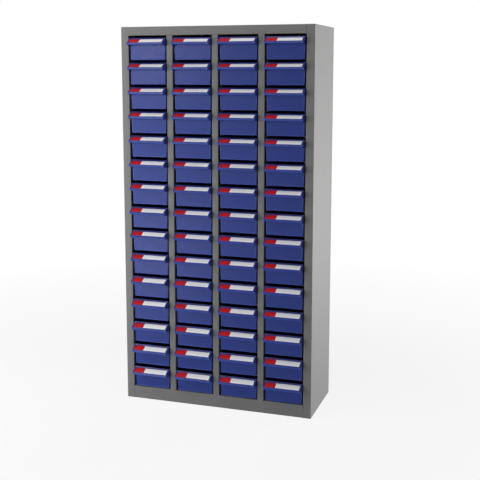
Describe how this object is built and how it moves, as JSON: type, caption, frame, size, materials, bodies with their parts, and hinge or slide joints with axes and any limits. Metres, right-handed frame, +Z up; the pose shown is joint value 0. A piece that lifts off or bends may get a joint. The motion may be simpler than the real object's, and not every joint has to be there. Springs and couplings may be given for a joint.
{
  "type": "parts bin cabinet",
  "caption": "Upright sheet steel parts cabinet with columns of pull-out plastic drawers, each opened by a hooded front that also holds its label card.",
  "frame": {"origin": "centre of the case's underside, midway between its sides and between its front frame and its back panel", "axes": "+Z up, the drawers open towards -Y, +X to the right of someone who faces them"},
  "size_m": [0.6, 0.265, 1.16],
  "materials": {
    "grey_paint": "satin powder coat",
    "blue_plastic": "moulded",
    "label_card": "printed card"
  },
  "bodies": {
    "cabinet": {"side_panel_left": "grey_paint", "side_panel_right": "grey_paint", "top_panel": "grey_paint", "bottom_panel": "grey_paint", "back_panel": "grey_paint", "side_liners": "grey_paint", "column_dividers": "grey_paint", "runners": "grey_paint"},
    "drawer_row01_col1": {"drawer_row01_col1": "blue_plastic"},
    "drawer_row01_col2": {"drawer_row01_col2": "blue_plastic"},
    "drawer_row01_col3": {"drawer_row01_col3": "blue_plastic"},
    "drawer_row01_col4": {"drawer_row01_col4": "blue_plastic"},
    "drawer_row02_col1": {"drawer_row02_col1": "blue_plastic"},
    "drawer_row02_col2": {"drawer_row02_col2": "blue_plastic"},
    "drawer_row02_col3": {"drawer_row02_col3": "blue_plastic"},
    "drawer_row02_col4": {"drawer_row02_col4": "blue_plastic"},
    "drawer_row03_col1": {"drawer_row03_col1": "blue_plastic"},
    "drawer_row03_col2": {"drawer_row03_col2": "blue_plastic"},
    "drawer_row03_col3": {"drawer_row03_col3": "blue_plastic"},
    "drawer_row03_col4": {"drawer_row03_col4": "blue_plastic"},
    "drawer_row04_col1": {"drawer_row04_col1": "blue_plastic"},
    "drawer_row04_col2": {"drawer_row04_col2": "blue_plastic"},
    "drawer_row04_col3": {"drawer_row04_col3": "blue_plastic"},
    "drawer_row04_col4": {"drawer_row04_col4": "blue_plastic"},
    "drawer_row05_col1": {"drawer_row05_col1": "blue_plastic"},
    "drawer_row05_col2": {"drawer_row05_col2": "blue_plastic"},
    "drawer_row05_col3": {"drawer_row05_col3": "blue_plastic"},
    "drawer_row05_col4": {"drawer_row05_col4": "blue_plastic"},
    "drawer_row06_col1": {"drawer_row06_col1": "blue_plastic"},
    "drawer_row06_col2": {"drawer_row06_col2": "blue_plastic"},
    "drawer_row06_col3": {"drawer_row06_col3": "blue_plastic"},
    "drawer_row06_col4": {"drawer_row06_col4": "blue_plastic"},
    "drawer_row07_col1": {"drawer_row07_col1": "blue_plastic"},
    "drawer_row07_col2": {"drawer_row07_col2": "blue_plastic"},
    "drawer_row07_col3": {"drawer_row07_col3": "blue_plastic"},
    "drawer_row07_col4": {"drawer_row07_col4": "blue_plastic"},
    "drawer_row08_col1": {"drawer_row08_col1": "blue_plastic"},
    "drawer_row08_col2": {"drawer_row08_col2": "blue_plastic"},
    "drawer_row08_col3": {"drawer_row08_col3": "blue_plastic"},
    "drawer_row08_col4": {"drawer_row08_col4": "blue_plastic"},
    "drawer_row09_col1": {"drawer_row09_col1": "blue_plastic"},
    "drawer_row09_col2": {"drawer_row09_col2": "blue_plastic"},
    "drawer_row09_col3": {"drawer_row09_col3": "blue_plastic"},
    "drawer_row09_col4": {"drawer_row09_col4": "blue_plastic"},
    "drawer_row10_col1": {"drawer_row10_col1": "blue_plastic"},
    "drawer_row10_col2": {"drawer_row10_col2": "blue_plastic"},
    "drawer_row10_col3": {"drawer_row10_col3": "blue_plastic"},
    "drawer_row10_col4": {"drawer_row10_col4": "blue_plastic"},
    "drawer_row11_col1": {"drawer_row11_col1": "blue_plastic"},
    "drawer_row11_col2": {"drawer_row11_col2": "blue_plastic"},
    "drawer_row11_col3": {"drawer_row11_col3": "blue_plastic"},
    "drawer_row11_col4": {"drawer_row11_col4": "blue_plastic"},
    "drawer_row12_col1_2": {"drawer_row12_col1_2": "blue_plastic"},
    "drawer_row12_col3_4": {"drawer_row12_col3_4": "blue_plastic"},
    "drawer_row13_col1_2": {"drawer_row13_col1_2": "blue_plastic"},
    "drawer_row13_col3_4": {"drawer_row13_col3_4": "blue_plastic"},
    "drawer_row14_col1_2": {"drawer_row14_col1_2": "blue_plastic"},
    "drawer_row14_col3_4": {"drawer_row14_col3_4": "blue_plastic"},
    "drawer_row15_col1_2": {"drawer_row15_col1_2": "blue_plastic"},
    "drawer_row15_col3_4": {"drawer_row15_col3_4": "blue_plastic"}
  },
  "joints": [
    {"name": "slide_row01_col1", "type": "slide", "parent": "cabinet", "child": "drawer_row01_col1", "axis": [0, -1, 0], "range_m": [0, 0.18]},
    {"name": "slide_row01_col2", "type": "slide", "parent": "cabinet", "child": "drawer_row01_col2", "axis": [0, -1, 0], "range_m": [0, 0.18]},
    {"name": "slide_row01_col3", "type": "slide", "parent": "cabinet", "child": "drawer_row01_col3", "axis": [0, -1, 0], "range_m": [0, 0.18]},
    {"name": "slide_row01_col4", "type": "slide", "parent": "cabinet", "child": "drawer_row01_col4", "axis": [0, -1, 0], "range_m": [0, 0.18]},
    {"name": "slide_row02_col1", "type": "slide", "parent": "cabinet", "child": "drawer_row02_col1", "axis": [0, -1, 0], "range_m": [0, 0.18]},
    {"name": "slide_row02_col2", "type": "slide", "parent": "cabinet", "child": "drawer_row02_col2", "axis": [0, -1, 0], "range_m": [0, 0.18]},
    {"name": "slide_row02_col3", "type": "slide", "parent": "cabinet", "child": "drawer_row02_col3", "axis": [0, -1, 0], "range_m": [0, 0.18]},
    {"name": "slide_row02_col4", "type": "slide", "parent": "cabinet", "child": "drawer_row02_col4", "axis": [0, -1, 0], "range_m": [0, 0.18]},
    {"name": "slide_row03_col1", "type": "slide", "parent": "cabinet", "child": "drawer_row03_col1", "axis": [0, -1, 0], "range_m": [0, 0.18]},
    {"name": "slide_row03_col2", "type": "slide", "parent": "cabinet", "child": "drawer_row03_col2", "axis": [0, -1, 0], "range_m": [0, 0.18]},
    {"name": "slide_row03_col3", "type": "slide", "parent": "cabinet", "child": "drawer_row03_col3", "axis": [0, -1, 0], "range_m": [0, 0.18]},
    {"name": "slide_row03_col4", "type": "slide", "parent": "cabinet", "child": "drawer_row03_col4", "axis": [0, -1, 0], "range_m": [0, 0.18]},
    {"name": "slide_row04_col1", "type": "slide", "parent": "cabinet", "child": "drawer_row04_col1", "axis": [0, -1, 0], "range_m": [0, 0.18]},
    {"name": "slide_row04_col2", "type": "slide", "parent": "cabinet", "child": "drawer_row04_col2", "axis": [0, -1, 0], "range_m": [0, 0.18]},
    {"name": "slide_row04_col3", "type": "slide", "parent": "cabinet", "child": "drawer_row04_col3", "axis": [0, -1, 0], "range_m": [0, 0.18]},
    {"name": "slide_row04_col4", "type": "slide", "parent": "cabinet", "child": "drawer_row04_col4", "axis": [0, -1, 0], "range_m": [0, 0.18]},
    {"name": "slide_row05_col1", "type": "slide", "parent": "cabinet", "child": "drawer_row05_col1", "axis": [0, -1, 0], "range_m": [0, 0.18]},
    {"name": "slide_row05_col2", "type": "slide", "parent": "cabinet", "child": "drawer_row05_col2", "axis": [0, -1, 0], "range_m": [0, 0.18]},
    {"name": "slide_row05_col3", "type": "slide", "parent": "cabinet", "child": "drawer_row05_col3", "axis": [0, -1, 0], "range_m": [0, 0.18]},
    {"name": "slide_row05_col4", "type": "slide", "parent": "cabinet", "child": "drawer_row05_col4", "axis": [0, -1, 0], "range_m": [0, 0.18]},
    {"name": "slide_row06_col1", "type": "slide", "parent": "cabinet", "child": "drawer_row06_col1", "axis": [0, -1, 0], "range_m": [0, 0.18]},
    {"name": "slide_row06_col2", "type": "slide", "parent": "cabinet", "child": "drawer_row06_col2", "axis": [0, -1, 0], "range_m": [0, 0.18]},
    {"name": "slide_row06_col3", "type": "slide", "parent": "cabinet", "child": "drawer_row06_col3", "axis": [0, -1, 0], "range_m": [0, 0.18]},
    {"name": "slide_row06_col4", "type": "slide", "parent": "cabinet", "child": "drawer_row06_col4", "axis": [0, -1, 0], "range_m": [0, 0.18]},
    {"name": "slide_row07_col1", "type": "slide", "parent": "cabinet", "child": "drawer_row07_col1", "axis": [0, -1, 0], "range_m": [0, 0.18]},
    {"name": "slide_row07_col2", "type": "slide", "parent": "cabinet", "child": "drawer_row07_col2", "axis": [0, -1, 0], "range_m": [0, 0.18]},
    {"name": "slide_row07_col3", "type": "slide", "parent": "cabinet", "child": "drawer_row07_col3", "axis": [0, -1, 0], "range_m": [0, 0.18]},
    {"name": "slide_row07_col4", "type": "slide", "parent": "cabinet", "child": "drawer_row07_col4", "axis": [0, -1, 0], "range_m": [0, 0.18]},
    {"name": "slide_row08_col1", "type": "slide", "parent": "cabinet", "child": "drawer_row08_col1", "axis": [0, -1, 0], "range_m": [0, 0.18]},
    {"name": "slide_row08_col2", "type": "slide", "parent": "cabinet", "child": "drawer_row08_col2", "axis": [0, -1, 0], "range_m": [0, 0.18]},
    {"name": "slide_row08_col3", "type": "slide", "parent": "cabinet", "child": "drawer_row08_col3", "axis": [0, -1, 0], "range_m": [0, 0.18]},
    {"name": "slide_row08_col4", "type": "slide", "parent": "cabinet", "child": "drawer_row08_col4", "axis": [0, -1, 0], "range_m": [0, 0.18]},
    {"name": "slide_row09_col1", "type": "slide", "parent": "cabinet", "child": "drawer_row09_col1", "axis": [0, -1, 0], "range_m": [0, 0.18]},
    {"name": "slide_row09_col2", "type": "slide", "parent": "cabinet", "child": "drawer_row09_col2", "axis": [0, -1, 0], "range_m": [0, 0.18]},
    {"name": "slide_row09_col3", "type": "slide", "parent": "cabinet", "child": "drawer_row09_col3", "axis": [0, -1, 0], "range_m": [0, 0.18]},
    {"name": "slide_row09_col4", "type": "slide", "parent": "cabinet", "child": "drawer_row09_col4", "axis": [0, -1, 0], "range_m": [0, 0.18]},
    {"name": "slide_row10_col1", "type": "slide", "parent": "cabinet", "child": "drawer_row10_col1", "axis": [0, -1, 0], "range_m": [0, 0.18]},
    {"name": "slide_row10_col2", "type": "slide", "parent": "cabinet", "child": "drawer_row10_col2", "axis": [0, -1, 0], "range_m": [0, 0.18]},
    {"name": "slide_row10_col3", "type": "slide", "parent": "cabinet", "child": "drawer_row10_col3", "axis": [0, -1, 0], "range_m": [0, 0.18]},
    {"name": "slide_row10_col4", "type": "slide", "parent": "cabinet", "child": "drawer_row10_col4", "axis": [0, -1, 0], "range_m": [0, 0.18]},
    {"name": "slide_row11_col1", "type": "slide", "parent": "cabinet", "child": "drawer_row11_col1", "axis": [0, -1, 0], "range_m": [0, 0.18]},
    {"name": "slide_row11_col2", "type": "slide", "parent": "cabinet", "child": "drawer_row11_col2", "axis": [0, -1, 0], "range_m": [0, 0.18]},
    {"name": "slide_row11_col3", "type": "slide", "parent": "cabinet", "child": "drawer_row11_col3", "axis": [0, -1, 0], "range_m": [0, 0.18]},
    {"name": "slide_row11_col4", "type": "slide", "parent": "cabinet", "child": "drawer_row11_col4", "axis": [0, -1, 0], "range_m": [0, 0.18]},
    {"name": "slide_row12_col1_2", "type": "slide", "parent": "cabinet", "child": "drawer_row12_col1_2", "axis": [0, -1, 0], "range_m": [0, 0.18]},
    {"name": "slide_row12_col3_4", "type": "slide", "parent": "cabinet", "child": "drawer_row12_col3_4", "axis": [0, -1, 0], "range_m": [0, 0.18]},
    {"name": "slide_row13_col1_2", "type": "slide", "parent": "cabinet", "child": "drawer_row13_col1_2", "axis": [0, -1, 0], "range_m": [0, 0.18]},
    {"name": "slide_row13_col3_4", "type": "slide", "parent": "cabinet", "child": "drawer_row13_col3_4", "axis": [0, -1, 0], "range_m": [0, 0.18]},
    {"name": "slide_row14_col1_2", "type": "slide", "parent": "cabinet", "child": "drawer_row14_col1_2", "axis": [0, -1, 0], "range_m": [0, 0.18]},
    {"name": "slide_row14_col3_4", "type": "slide", "parent": "cabinet", "child": "drawer_row14_col3_4", "axis": [0, -1, 0], "range_m": [0, 0.18]},
    {"name": "slide_row15_col1_2", "type": "slide", "parent": "cabinet", "child": "drawer_row15_col1_2", "axis": [0, -1, 0], "range_m": [0, 0.18]},
    {"name": "slide_row15_col3_4", "type": "slide", "parent": "cabinet", "child": "drawer_row15_col3_4", "axis": [0, -1, 0], "range_m": [0, 0.18]}
  ]
}
